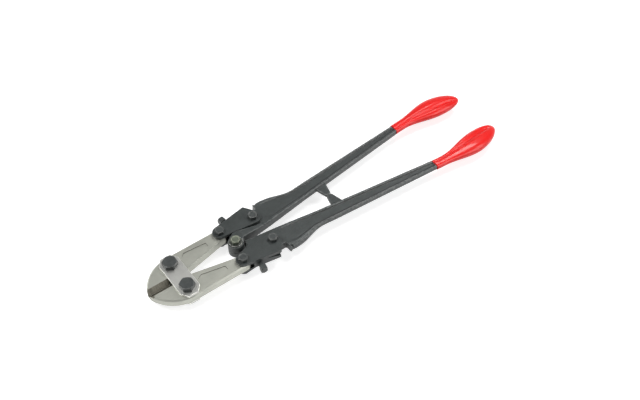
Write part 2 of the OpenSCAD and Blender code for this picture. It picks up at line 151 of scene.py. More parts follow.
class BoltCutterGrips(PropertyGroup):
    valley_depth: FloatProperty(
        name="Valley depth", description="Depth of the valley along each face of a grip", unit="LENGTH",
        default=4.3 * MM, min=0, max=5 * MM)
    valley_place: FloatProperty(
        name="Valley place", description="Middle of the valley across the grip, -1 inside to 1 outside",
        default=-0.3, min=-1, max=1)
    valley_share: FloatProperty(
        name="Valley width", description="Half width of the valley as a share of the grip's half width",
        subtype="FACTOR", default=0.34, min=0.05, max=0.9)
    lip: FloatProperty(
        name="Mouth lip", description="Rounding at the mouth of the coating", unit="LENGTH", default=0.9 * MM,
        min=0, max=2 * MM)


class BoltCutterStage(PropertyGroup):
    azimuth: FloatProperty(
        name="Azimuth", description="Direction of view round the tool", subtype="ANGLE",
        default=math.radians(-36.97))
    elevation: FloatProperty(
        name="Elevation", description="Height of view above the floor", subtype="ANGLE",
        default=math.radians(48.72))
    distance: FloatProperty(
        name="Distance", description="Distance of the camera from the tool", unit="LENGTH", default=1.321)
    lens: FloatProperty(
        name="Lens", description="Focal length of the camera in millimetres", default=49.73, min=10, max=300)
    aim: FloatVectorProperty(
        name="Aim", description="Point that the camera looks at", subtype="TRANSLATION",
        default=(-0.0125, -0.0001, MID_Z + 0.0006))


SETTINGS = {
    "bolt_cutter_colours": BoltCutterColours,
    "bolt_cutter_forging": BoltCutterForging,
    "bolt_cutter_edges": BoltCutterEdges,
    "bolt_cutter_threads": BoltCutterThreads,
    "bolt_cutter_grips": BoltCutterGrips,
    "bolt_cutter_stage": BoltCutterStage,
}


# ---------------------------------------------------------------- materials


class Finish:
    """A node material under construction: each method adds one layer to its shader."""

    def __init__(self, name):
        self.material = bpy.data.materials.new(name)
        self.material.use_nodes = True
        self.tree = self.material.node_tree
        self.shader = self.tree.nodes["Principled BSDF"]
        self.place = self.node("ShaderNodeTexCoord").outputs["Object"]

    def node(self, kind, **values):
        made = self.tree.nodes.new(kind)
        for key, value in values.items():
            setattr(made, key, value)
        return made

    def link(self, source, target):
        self.tree.links.new(source, target)

    def set(self, **values):
        """Sets constants on the shader's own sockets, such as Coat_Weight=0.5."""
        for key, value in values.items():
            self.shader.inputs[key.replace("_", " ")].default_value = value
        return self

    def noise(self, scale, detail=3, stretch=(1, 1, 1), turn=0):
        """Noise of a given scale per metre, stretched along the axes and turned about Z."""
        mapping = self.node("ShaderNodeMapping")
        mapping.inputs["Scale"].default_value = stretch
        mapping.inputs["Rotation"].default_value[2] = turn
        texture = self.node("ShaderNodeTexNoise")
        texture.inputs["Scale"].default_value = scale
        texture.inputs["Detail"].default_value = detail
        self.link(self.place, mapping.inputs["Vector"])
        self.link(mapping.outputs["Vector"], texture.inputs["Vector"])
        return texture.outputs["Fac"]

    def remap(self, value, low, high, steepness=(0.3, 0.7)):
        """Maps a 0 to 1 value to a range of numbers, with its contrast set by steepness."""
        made = self.node("ShaderNodeMapRange")
        made.inputs["From Min"].default_value = steepness[0]
        made.inputs["From Max"].default_value = steepness[1]
        made.inputs["To Min"].default_value = low
        made.inputs["To Max"].default_value = high
        self.link(value, made.inputs["Value"])
        return made.outputs["Result"]

    def mix(self, share, first, second):
        """Mixes two colours; each is an RGB triple or a colour output."""
        made = self.node("ShaderNodeMix", data_type="RGBA")
        self.link(share, made.inputs["Factor"])
        for socket, colour in ((made.inputs["A"], first), (made.inputs["B"], second)):
            if isinstance(colour, bpy.types.NodeSocket):
                self.link(colour, socket)
            else:
                socket.default_value = (*colour, 1)
        return made.outputs["Result"]

    def mottled(self, colour, spread, scale, stretch=(1, 1, 1), turn=0):
        """A colour that varies by spread either way over the piece."""
        colour = np.array(colour)
        share = self.remap(self.noise(scale, 4, stretch, turn), 0, 1)
        return self.mix(share, colour * (1 - spread), np.minimum(colour * (1 + spread), 1))

    def worn(self, colour, bare, amount):
        """Lays bare metal over a colour where the piece's edges rub."""
        wear = self.node("ShaderNodeAttribute", attribute_name=WEAR).outputs["Fac"]
        patchy = self.node("ShaderNodeMath", operation="MULTIPLY", use_clamp=True)
        self.link(wear, patchy.inputs[0])
        self.link(self.remap(self.noise(260, 4), 0, 2 * amount), patchy.inputs[1])
        return self.mix(patchy.outputs["Value"], colour, bare)

    def grimed(self, colour, dark):
        """Painted shade: darkens a colour in the piece's inner corners and creases, where shade falls."""
        shade_mask = self.node("ShaderNodeAttribute", attribute_name=CREASE_SHADE).outputs["Fac"]
        return self.mix(shade_mask, colour, dark)

    def colour(self, output):
        self.link(output, self.shader.inputs["Base Color"])
        return self

    def roughness(self, low, high, scale, stretch=(1, 1, 1)):
        self.link(self.remap(self.noise(scale, 3, stretch), low, high), self.shader.inputs["Roughness"])
        return self

    def relief(self, *layers):
        """Bump from (height output, depth in metres) layers, laid one on another."""
        below = None
        for height, depth in layers:
            bump = self.node("ShaderNodeBump")
            bump.inputs["Distance"].default_value = depth
            self.link(height, bump.inputs["Height"])
            if below:
                self.link(below, bump.inputs["Normal"])
            below = bump.outputs["Normal"]
        self.link(below, self.shader.inputs["Normal"])
        return self


def satin_nickel(colours):
    """Plated forging, brushed lengthways."""
    finish = Finish("satin_nickel").set(Metallic=1.0)
    brushed = finish.noise(90, 3, (1, 14, 14))
    finish.colour(finish.worn(finish.mottled(colours.nickel, 0.07, 45), (0.74, 0.74, 0.68), 0.8))
    finish.roughness(0.36, 0.5, 90, (1, 14, 14))
    return finish.relief((brushed, 0.03 * MM), (finish.noise(1400), 0.03 * MM)).material


def plated_steel(colours):
    """Flat plate, brushed across the tool."""
    finish = Finish("plated_steel").set(Metallic=1.0)
    finish.colour(finish.worn(finish.mottled(colours.plate, 0.06, 60), (0.85, 0.85, 0.8), 0.9))
    finish.roughness(0.34, 0.46, 90, (14, 1, 14))
    return finish.relief((finish.noise(90, 3, (14, 1, 14)), 0.03 * MM)).material


def ground_steel(colours):
    """Bare bevels, with grinding lines that run square to the cutting edge."""
    finish = Finish("ground_steel").set(Metallic=1.0)
    finish.colour(finish.mottled(colours.ground, 0.3, 110, (9, 1, 1)))
    finish.roughness(0.3, 0.42, 110, (9, 1, 1))
    return finish.relief((finish.noise(120, 2, (9, 1, 1)), 0.05 * MM)).material


def panel_wall_painted_shade(colours):
    """Painted shade on the walls of the sunk panels: a dark colour where shade falls."""
    finish = Finish("panel_wall_painted_shade").set(Metallic=0.6)
    finish.colour(finish.mottled(np.array(colours.ground) * 0.35, 0.3, 200))
    return finish.roughness(0.5, 0.65, 200).relief((finish.noise(900), 0.03 * MM)).material


def chamfer_painted_highlight(colours):
    """Chamfers and broken edges of the jaws, painted brighter than their faces as a highlight."""
    finish = Finish("chamfer_painted_highlight").set(Metallic=1.0)
    finish.colour(finish.mottled(np.array(colours.nickel) * 1.25, 0.05, 70))
    finish.roughness(0.3, 0.4, 90, (1, 12, 12))
    return finish.relief((finish.noise(90, 3, (1, 12, 12)), 0.02 * MM)).material


def blackened_forging(colours):
    """Black finish over a faintly pitted forging, rubbed to grey along its edges, with painted shade darkening
    its creases.
    """
    finish = Finish("blackened_forging").set(Specular_IOR_Level=0.5)
    base = finish.mottled(colours.black, 0.16, 70)
    rubbed = finish.worn(base, (0.17, 0.18, 0.175), 0.85)
    # Painted shade: the crease mask darkens the black to near black where shade falls.
    finish.colour(finish.grimed(rubbed, (0.006, 0.007, 0.007)))
    finish.roughness(0.34, 0.46, 210)
    pits = finish.remap(finish.noise(900, 5), 0, 1, (0.35, 0.6))
    return finish.relief((finish.noise(240, 3), 0.12 * MM), (pits, 0.05 * MM)).material


def black_oxide(colours):
    """Oiled oxide on bolts and nuts."""
    finish = Finish("black_oxide").set(Metallic=0.25)
    finish.colour(finish.worn(finish.mottled(colours.oxide, 0.18, 140), (0.2, 0.2, 0.19), 0.6))
    finish.roughness(0.34, 0.46, 300)
    return finish.relief((finish.noise(1100, 4), 0.03 * MM)).material


def olive_zinc(colours):
    """Passivated zinc with a greenish cast."""
    finish = Finish("olive_zinc").set(Metallic=0.7)
    finish.colour(finish.worn(finish.mottled(colours.olive, 0.22, 160), (0.34, 0.35, 0.28), 0.8))
    finish.roughness(0.36, 0.5, 260)
    return finish.relief((finish.noise(900, 4), 0.03 * MM)).material


def dull_zinc(colours):
    """Dark dull zinc of the washers, bright along their rims."""
    finish = Finish("dull_zinc").set(Metallic=0.8)
    finish.colour(finish.worn(finish.mottled(colours.zinc, 0.15, 150), (0.6, 0.6, 0.56), 0.9))
    finish.roughness(0.34, 0.48, 260)
    return finish.relief((finish.noise(800, 3), 0.03 * MM)).material


def dipped_vinyl(colours):
    """Thick glossy coating with the soft waves of a dip."""
    finish = Finish("dipped_vinyl").set(Coat_Weight=0.3, Coat_Roughness=0.1, Specular_IOR_Level=0.25)
    finish.colour(finish.mottled(colours.red, 0.05, 55))
    finish.roughness(0.3, 0.4, 90)
    return finish.relief((finish.noise(75, 2), 0.25 * MM), (finish.noise(1300, 3), 0.015 * MM)).material


def finish_named(maker):
    """The material that a finish function makes, made once."""
    found = bpy.data.materials.get(maker.__name__)
    return found or maker(bpy.context.scene.bolt_cutter_colours)


# ---------------------------------------------------------------- mesh helpers


def object_from(mesh, name, *finishes):
    """Links a mesh as a new object at the origin, with one material slot per finish."""
    mesh.name = name
    mesh.materials.clear()
    for maker in finishes:
        mesh.materials.append(finish_named(maker))
    made = bpy.data.objects.new(name, mesh)
    bpy.context.scene.collection.objects.link(made)
    return made


def bake(piece):
    """Turns a piece's modifiers into plain mesh."""
    bpy.context.view_layer.update()
    graph = bpy.context.evaluated_depsgraph_get()
    mesh = bpy.data.meshes.new_from_object(piece.evaluated_get(graph))
    piece.modifiers.clear()
    piece.data = mesh
    mesh.name = piece.name
    return piece


def shade(piece, angle=32):
    """Smooth shading, broken at edges sharper than an angle in degrees."""
    piece.data.polygons.foreach_set("use_smooth", np.ones(len(piece.data.polygons), bool))
    piece.data.set_sharp_from_angle(angle=math.radians(angle))
    weighted = piece.modifiers.new("faces", "WEIGHTED_NORMAL")
    weighted.keep_sharp = True
    weighted.weight = 80
    return bake(piece)


def merged_copy(node):
    """A copy of a CAD node's mesh with its doubles merged and its flat faces made whole."""
    mesh = frame["nodes"][node].data.copy()
    work = bmesh.new()
    work.from_mesh(mesh)
    bmesh.ops.remove_doubles(work, verts=work.verts, dist=0.002 * MM)
    bmesh.ops.dissolve_limit(work, angle_limit=math.radians(0.4), verts=work.verts, edges=work.edges)
    work.to_mesh(mesh)
    work.free()
    return mesh


def break_edges(piece, width_at, widest, angle=24, segments=3):
    """Bevels the edges sharper than an angle. width_at gives each edge's width from its middle point."""
    work = bmesh.new()
    work.from_mesh(piece.data)
    layer = work.edges.layers.float.new("bevel_weight_edge")
    for edge in work.edges:
        if len(edge.link_faces) == 2 and edge.calc_face_angle(0) > math.radians(angle):
            edge[layer] = min(1, width_at((edge.verts[0].co + edge.verts[1].co) / 2) / widest)
    work.to_mesh(piece.data)
    work.free()
    bevel = piece.modifiers.new("edges", "BEVEL")
    bevel.limit_method = "WEIGHT"
    bevel.width = widest
    bevel.segments = segments
    bevel.material = 1
    bevel.use_clamp_overlap = True
    bevel.loop_slide = True
    return bake(piece)


def mark_wear(piece, keep_second=False):
    """Stores where the bevelled faces are as the wear attribute, for the finish to read."""
    mesh = piece.data
    worn = np.array([polygon.material_index == 1 for polygon in mesh.polygons], np.float32)
    layer = mesh.attributes.new(WEAR, "FLOAT", "FACE")
    layer.data.foreach_set("value", worn)
    if not keep_second:
        mesh.polygons.foreach_set("material_index", np.zeros(len(mesh.polygons), np.int32))
    return piece


def loft(rings, loop=False):
    """A closed mesh through rings of equal length: open rings are capped, a loop of rings is joined."""
    count, around = len(rings), len(rings[0])
    points = np.concatenate(rings)
    steps = range(count if loop else count - 1)
    faces = [
        (i * around + j, i * around + (j + 1) % around,
         (i + 1) % count * around + (j + 1) % around, (i + 1) % count * around + j)
        for i in steps for j in range(around)
    ]
    if not loop:
        faces += [tuple(range(around)), tuple(range((count - 1) * around, count * around))]
    mesh = bpy.data.meshes.new("loft")
    mesh.from_pydata(points.tolist(), [], faces)
    work = bmesh.new()
    work.from_mesh(mesh)
    bmesh.ops.recalc_face_normals(work, faces=work.faces)
    work.to_mesh(mesh)
    work.free()
    return mesh


def joined(meshes):
    """One mesh from several."""
    work = bmesh.new()
    for mesh in meshes:
        work.from_mesh(mesh)
    made = bpy.data.meshes.new("joined")
    work.to_mesh(made)
    work.free()
    return made


def centre_of(node):
    low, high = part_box(node)
    return (low + high) / 2


def half_thickness(node):
    low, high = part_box(node)
    return (high.z - low.z) / 2


def smoothstep(value):
    value = np.clip(value, 0, 1)
    return value * value * (3 - 2 * value)


def settle(piece, body, slot, *nodes):
    """Ties a finished piece to its body and hides the CAD nodes that it stands for. The slot is not used."""
    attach(piece, body)
    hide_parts(*nodes)


# ---------------------------------------------------------------- jaws and plates


class MadeJaws(Operator):
    """Make the two jaws with broken edges, ground bevels, chamfers with a painted highlight and panel walls with
    painted shade
    """

    bl_idname = "bolt_cutters.jaws"
    bl_label = "Jaws"

    def execute(self, context):
        edges = context.scene.bolt_cutter_edges
        bolt_x = JOINTS["jaw_left_hinge"]["pos_m"][0]
        bevel_reach = 9 * MM
        for side in SIDES:
            node = f"jaw_{side}"
            jaw = object_from(
                merged_copy(node), f"{node}_forging", satin_nickel, chamfer_painted_highlight, ground_steel, panel_wall_painted_shade)
            half = half_thickness(node)
            for face in jaw.data.polygons:
                face.material_index = 0
                tilt, centre = abs(face.normal.z), face.center
                if 0.05 < tilt < 0.95 and abs(centre.y) < bevel_reach and centre.x < bolt_x:
                    face.material_index = 2
                # Chamfers take the painted highlight.
                elif 0.3 < tilt < 0.95:
                    face.material_index = 1
                # Walls of the sunk panels take the painted shade.
                elif tilt < 0.05 and abs(centre.z - MID_Z) > half - PANEL_WALL:
                    face.material_index = 3

            def width_at(point):
                near_cut = abs(point.y) < bevel_reach and point.x < bolt_x
                sunk = 0.01 * MM < half - abs(point.z - MID_Z) < 2 * PANEL_WALL
                return 0 if sunk else edges.cutting if near_cut else edges.jaw

            # The broken edges go to the second slot, which holds the painted highlight.
            break_edges(jaw, width_at, edges.jaw)
            mark_wear(jaw, keep_second=True)
            shade(jaw, 20)
            settle(jaw, node, "jaw_steel", node)
        return {"FINISHED"}


class MadePlates(Operator):
    """Make the jaw plates and the link plates with rounded edges"""

    bl_idname = "bolt_cutters.plates"
    bl_label = "Plates"

    def execute(self, context):
        width = context.scene.bolt_cutter_edges.plate
        rows = [
            (f"jaw_plate_{level}", "jaw_plates", "plate_steel", plated_steel) for level in ("upper", "lower")
        ]
        rows += [
            (f"link_{level}_{side}", f"arm_{side}", "blackened_steel", blackened_forging)
            for level in ("upper", "lower") for side in SIDES
        ]
        for node, body, slot, finish in rows:
            plate = object_from(merged_copy(node), f"{node}_plate", finish, finish)
            break_edges(plate, lambda point: width, width)
            mark_wear(plate)
            shade(plate)
            settle(plate, body, slot, node)
        return {"FINISHED"}


# ---------------------------------------------------------------- bolts, nuts and screws


def rounded_polygon(sides, flats, around=72, softness=60):
    """Radius at each angle of a polygon measured across its flats, with its corners just rounded."""
    angles = np.arange(around) * 2 * math.pi / around
    faces = np.arange(sides) * 2 * math.pi / sides
    nearness = np.clip(np.cos(angles[:, None] - faces[None, :]), 0, None)
    return angles, flats / 2 * (nearness ** softness).sum(1) ** (-1 / softness)


def head_rings(sides, flats, height, both=False, dish=0.0):
    """Rings of a polygonal head that stands on Z = 0, with its corners turned to a cone at the top."""
    angles, radius = rounded_polygon(sides, flats)
    turned = 0.97 * flats / 2
    fall = np.clip(radius - turned, 0, None) * math.tan(math.radians(30))

    def ring(r, z):
        r, z = np.broadcast_to(r, angles.shape), np.broadcast_to(z, angles.shape)
        return np.stack([r * np.cos(angles), r * np.sin(angles), z], 1)

    rings = [ring(radius * 0.02, height - dish), ring(turned * 0.78, height - dish)] if dish else []
    rings += [ring(turned * 0.86, height), ring(turned, height), ring(radius, height - fall)]
    if both:
        return rings + [ring(radius, fall), ring(turned, 0)]
    return rings + [ring(radius, 0)]


def thread_tree():
    """Geometry Nodes tree of a threaded bolt end: a core, and a ridge swept along a helix."""
    name = "threaded_end"
    if name in bpy.data.node_groups:
        return bpy.data.node_groups[name]
    tree = bpy.data.node_groups.new(name, "GeometryNodeTree")
    face = tree.interface
    starts = (("Radius", 6 * MM), ("Pitch", 1.75 * MM), ("Length", 10 * MM), ("Depth", 0.8 * MM))
    for label, value in starts:
        face.new_socket(label, in_out="INPUT", socket_type="NodeSocketFloat").default_value = value
    face.new_socket("Material", in_out="INPUT", socket_type="NodeSocketMaterial")
    face.new_socket("Geometry", in_out="OUTPUT", socket_type="NodeSocketGeometry")
    nodes, links = tree.nodes, tree.links
    given = nodes.new("NodeGroupInput")
    result = nodes.new("NodeGroupOutput")

    def calculate(operation, first, second):
        made = nodes.new("ShaderNodeMath")
        made.operation = operation
        for socket, value in zip(made.inputs, (first, second)):
            if isinstance(value, bpy.types.NodeSocket):
                links.new(value, socket)
            else:
                socket.default_value = value
        return made.outputs["Value"]

    core_radius = calculate("SUBTRACT", given.outputs["Radius"], given.outputs["Depth"])
    margin = calculate("MULTIPLY", given.outputs["Depth"], 2)
    rise = calculate("SUBTRACT", given.outputs["Length"], margin)
    core = nodes.new("GeometryNodeMeshCylinder")
    core.inputs["Vertices"].default_value = 40
    links.new(core_radius, core.inputs["Radius"])
    links.new(given.outputs["Length"], core.inputs["Depth"])
    lift = nodes.new("ShaderNodeCombineXYZ")
    links.new(calculate("MULTIPLY", given.outputs["Length"], 0.5), lift.inputs["Z"])
    raised = nodes.new("GeometryNodeTransform")
    links.new(core.outputs["Mesh"], raised.inputs["Geometry"])
    links.new(lift.outputs["Vector"], raised.inputs["Translation"])

    helix = nodes.new("GeometryNodeCurveSpiral")
    helix.inputs["Resolution"].default_value = 32
    links.new(calculate("DIVIDE", rise, given.outputs["Pitch"]), helix.inputs["Rotations"])
    links.new(core_radius, helix.inputs["Start Radius"])
    links.new(core_radius, helix.inputs["End Radius"])
    links.new(rise, helix.inputs["Height"])
    ridge = nodes.new("GeometryNodeCurvePrimitiveCircle")
    ridge.inputs["Resolution"].default_value = 4
    links.new(given.outputs["Depth"], ridge.inputs["Radius"])
    swept = nodes.new("GeometryNodeCurveToMesh")
    swept.inputs["Fill Caps"].default_value = True
    links.new(helix.outputs["Curve"], swept.inputs["Curve"])
    links.new(ridge.outputs["Curve"], swept.inputs["Profile Curve"])
    start = nodes.new("ShaderNodeCombineXYZ")
    links.new(given.outputs["Depth"], start.inputs["Z"])
    wound = nodes.new("GeometryNodeTransform")
    links.new(swept.outputs["Mesh"], wound.inputs["Geometry"])
    links.new(start.outputs["Vector"], wound.inputs["Translation"])

    join = nodes.new("GeometryNodeJoinGeometry")
    links.new(wound.outputs["Geometry"], join.inputs["Geometry"])
    links.new(raised.outputs["Geometry"], join.inputs["Geometry"])
    real = nodes.new("GeometryNodeRealizeInstances")
    links.new(join.outputs["Geometry"], real.inputs["Geometry"])
    coat = nodes.new("GeometryNodeSetMaterial")
    links.new(real.outputs["Geometry"], coat.inputs["Geometry"])
    links.new(given.outputs["Material"], coat.inputs["Material"])
    links.new(coat.outputs["Geometry"], result.inputs["Geometry"])
    return tree


def threaded_end(radius, pitch, length, finish):
    """Mesh of a threaded end that rises from Z = 0."""
    share = bpy.context.scene.bolt_cutter_threads.depth_share
    tree = thread_tree()
    carrier = bpy.data.objects.new("thread", bpy.data.meshes.new("thread"))
    bpy.context.scene.collection.objects.link(carrier)
    modifier = carrier.modifiers.new("thread", "NODES")
    modifier.node_group = tree
    values = {"Radius": radius, "Pitch": pitch, "Length": length, "Depth": pitch * share,
              "Material": finish_named(finish)}
    for item in tree.interface.items_tree:
        if item.in_out == "INPUT":
            modifier[item.identifier] = values[item.name]
    mesh = bake(carrier).data
    bpy.data.objects.remove(carrier)
    work = bmesh.new()
    work.from_mesh(mesh)
    bmesh.ops.recalc_face_normals(work, faces=work.faces)
    work.to_mesh(mesh)
    work.free()
    return mesh


def headed(sides, flats, height, finish, dish=0.0, both=False, bore=0.0):
    """Mesh of a broken-edged head or nut. A bore makes it a nut, open from end to end."""
    rings = head_rings(sides, flats, height, both, dish)
    if bore:
        angles = np.arange(len(rings[0])) * 2 * math.pi / len(rings[0])
        round_ring = np.stack([np.cos(angles), np.sin(angles), 0 * angles], 1)
        chamfer = 0.7 * MM
        for r, z in ((bore + chamfer, 0), (bore, chamfer), (bore, height - chamfer), (bore + chamfer, height)):
            rings.append(round_ring * r + np.array([0, 0, z]))
    head = object_from(loft(rings, loop=bool(bore)), "head", finish, finish)
    width = bpy.context.scene.bolt_cutter_edges.bolt
    break_edges(head, lambda point: width, width, angle=20, segments=2)
    mark_wear(head)
    shade(head, 28)
    mesh = head.data
    bpy.data.objects.remove(head)
    return mesh


def turned_shank(radius, length):
    """Plain round shank that hangs below Z = 0."""
    angles = np.arange(48) * 2 * math.pi / 48
    circle = np.stack([np.cos(angles), np.sin(angles), 0 * angles], 1) * radius
    return loft([circle + np.array([0, 0, z]) for z in (0.5 * MM, -length)])


class MadeBolts(Operator):
    """Make the bolts, nuts and washers, with threads on the bolts' ends"""

    bl_idname = "bolt_cutters.bolts"
    bl_label = "Bolts and nuts"

    def execute(self, context):
        threads = context.scene.bolt_cutter_threads
        rows = []
        for side in SIDES:
            rows.append((f"jaw_{{}}_{side}", "jaw_plates", threads.jaw_pitch, black_oxide, 0))
            rows.append((f"tail_{{}}_{side}", f"arm_{side}", threads.pin_pitch, black_oxide, 20))
            rows.append((f"handle_{{}}_{side}", f"arm_{side}", threads.pin_pitch, black_oxide, 10))
        rows.append(("centre_{}", "arm_left", threads.pin_pitch, olive_zinc, 0))
        for row in rows:
            self.bolt_and_nut(*row)
        for level in ("upper", "lower"):
            node = f"centre_washer_{level}"
            washer = object_from(merged_copy(node), f"{node}_ring", dull_zinc, dull_zinc)
            break_edges(washer, lambda point: 0.3 * MM, 0.3 * MM)
            mark_wear(washer)
            shade(washer)
            settle(washer, "arm_left", "zinc_steel", node)
        return {"FINISHED"}

    def bolt_and_nut(self, pattern, body, pitch, finish, turn):
        bolt, nut = pattern.format("bolt"), pattern.format("nut")
        low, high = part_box(bolt)
        nut_low, nut_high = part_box(nut)
        flats = min(nut_high.x - nut_low.x, nut_high.y - nut_low.y)
        radius = 6 * MM if pattern.startswith("jaw") else 4 * MM
        head_height = 7.5 * MM if pattern.startswith("jaw") else 5.5 * MM
        centre = (low + high) / 2
        seat = high.z - head_height
        thread_length = nut_high.z - low.z + 2 * MM
        spin = Matrix.Rotation(math.radians(turn), 4, "Z")

        head = headed(6, flats, head_height, finish, dish=0.25 * MM)
        head.transform(Matrix.Translation((centre.x, centre.y, seat)) @ spin)
        shank = turned_shank(radius - 0.02 * MM, seat - nut_high.z)
        shank.transform(Matrix.Translation((centre.x, centre.y, seat)))
        end = threaded_end(radius - 0.02 * MM, pitch, thread_length, finish)
        end.transform(Matrix.Translation((centre.x, centre.y, low.z)))
        slot = "zinc_steel" if finish is olive_zinc else "dark_fastener"
        piece = shade(object_from(joined([head, shank, end]), f"{bolt}_threaded", finish), 28)
        settle(piece, body, slot, bolt)

        ring = headed(6, flats, nut_high.z - nut_low.z, black_oxide, both=True, bore=radius + 0.05 * MM)
        ring.transform(Matrix.Translation((centre.x, centre.y, nut_low.z)))
        piece = shade(object_from(ring, f"{nut}_turned", black_oxide), 28)
        settle(piece, body, "dark_fastener", nut)


class MadeAdjusters(Operator):
    """Make the square-headed adjusting screws with their threads"""

    bl_idname = "bolt_cutters.adjusters"
    bl_label = "Adjusting screws"

    def execute(self, context):
        pitch = context.scene.bolt_cutter_threads.pin_pitch
        radius, stand, head_width, head_height, depth = 4 * MM, 6 * MM, 9 * MM, 8 * MM, 16.5 * MM
        for side in SIDES:
            joint = JOINTS[f"adjusting_screw_{side}_turn"]
            node = f"adjusting_screw_{side}"
            head = headed(4, head_width, head_height, black_oxide)
            head.transform(Matrix.Translation((0, 0, stand)))
            thread = threaded_end(radius - 0.02 * MM, pitch, stand + depth, black_oxide)
            thread.transform(Matrix.Translation((0, 0, -depth)))
            along = Vector(joint["axis"]).normalized()
            across = along.cross(Vector((0, 0, 1))).normalized()
            turn = Matrix((across, along.cross(across), along)).transposed().to_4x4()
            screw = object_from(joined([head, thread]), f"{node}_threaded", black_oxide)
            screw.data.transform(Matrix.Translation(joint["pos_m"]) @ turn)
            shade(screw, 28)
            settle(screw, f"adjuster_{side}", "dark_fastener", node)
        return {"FINISHED"}


# ---------------------------------------------------------------- handles and grips


class MadeHandles(Operator):
    """Make the two forged handles with rounded edges"""

    bl_idname = "bolt_cutters.handles"
    bl_label = "Handles"

    def execute(self, context):
        forging = context.scene.bolt_cutter_forging
        for side in SIDES:
            node = f"handle_{side}"
            handle = object_from(merged_copy(node), f"{node}_forging", blackened_forging)
            remesh = handle.modifiers.new("forging", "REMESH")
            remesh.mode = "VOXEL"
            remesh.voxel_size = forging.grain
            smooth = handle.modifiers.new("edges", "SMOOTH")
            smooth.factor = 0.5
            smooth.iterations = forging.smoothing
            bake(handle)
            self.round_shoulder(handle.data, side, forging.shoulder)
            self.find_wear(handle.data)
            shade(handle, 60)
            settle(handle, f"arm_{side}", "blackened_steel", node)
        return {"FINISHED"}

    def round_shoulder(self, mesh, side, radius):
        """Lowers both faces towards the outer edge, round a quarter circle."""
        points = np.zeros(len(mesh.vertices) * 3)
        mesh.vertices.foreach_get("co", points)
        points = points.reshape(-1, 3)
        out = points[:, 1] * (1 if side == "left" else -1)
        order = np.linspace(points[:, 0].min(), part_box(f"grip_{side}")[0].x, 240)
        which = np.clip(np.searchsorted(order, points[:, 0]), 0, len(order) - 1)
        edge = np.full(len(order), -1.0)
        np.maximum.at(edge, which, out)
        edge = np.convolve(np.pad(edge, 4, mode="edge"), np.ones(9) / 9, mode="valid")
        inside = np.clip(radius - (edge[which] - out), 0, radius)
        fall = radius - np.sqrt(radius * radius - inside * inside)
        notch = centre_of(f"handle_bolt_{side}").x + 14 * MM
        share = smoothstep((points[:, 0] - notch) / (6 * MM))
        share *= 1 - 0.55 * smoothstep((points[:, 0] - notch - 50 * MM) / (40 * MM))
        half = np.abs(points[:, 2] - MID_Z)
        moved = np.maximum(half - fall * share, half * 0.25)
        points[:, 2] = MID_Z + np.sign(points[:, 2] - MID_Z) * moved
        mesh.vertices.foreach_set("co", points.ravel())
        mesh.update()

    def find_wear(self, mesh):
        """Stores how far the surface bulges or sinks: bulges as the wear attribute, sinks as the mask of the
        painted shade in creases.
        """
        count = len(mesh.vertices)
        points = np.zeros(count * 3)
        normals = np.zeros(count * 3)
        ends = np.zeros(len(mesh.edges) * 2, np.int32)
        mesh.vertices.foreach_get("co", points)
        mesh.vertices.foreach_get("normal", normals)
        mesh.edges.foreach_get("vertices", ends)
        points, normals, ends = points.reshape(-1, 3), normals.reshape(-1, 3), ends.reshape(-1, 2)
        degree = np.bincount(ends.ravel(), minlength=count)[:, None]
        total = np.zeros_like(points)
        np.add.at(total, ends[:, 0], points[ends[:, 1]])
        np.add.at(total, ends[:, 1], points[ends[:, 0]])
        bulge = ((points - total / degree) * normals).sum(1)
        for _ in range(4):
            spread = np.zeros(count)
            np.add.at(spread, ends[:, 0], bulge[ends[:, 1]])
            np.add.at(spread, ends[:, 1], bulge[ends[:, 0]])
            bulge = (bulge + spread / degree[:, 0]) / 2
        # Bulges mark real wear; sinks mark where the painted shade darkens the creases.
        for name, sign, full in ((WEAR, 1, FULL_WEAR), (CREASE_SHADE, -1, FULL_CREASE_SHADE)):
            layer = mesh.attributes.new(name, "FLOAT", "POINT")
            layer.data.foreach_set("value", np.clip(sign * bulge / full, 0, 1).astype(np.float32))


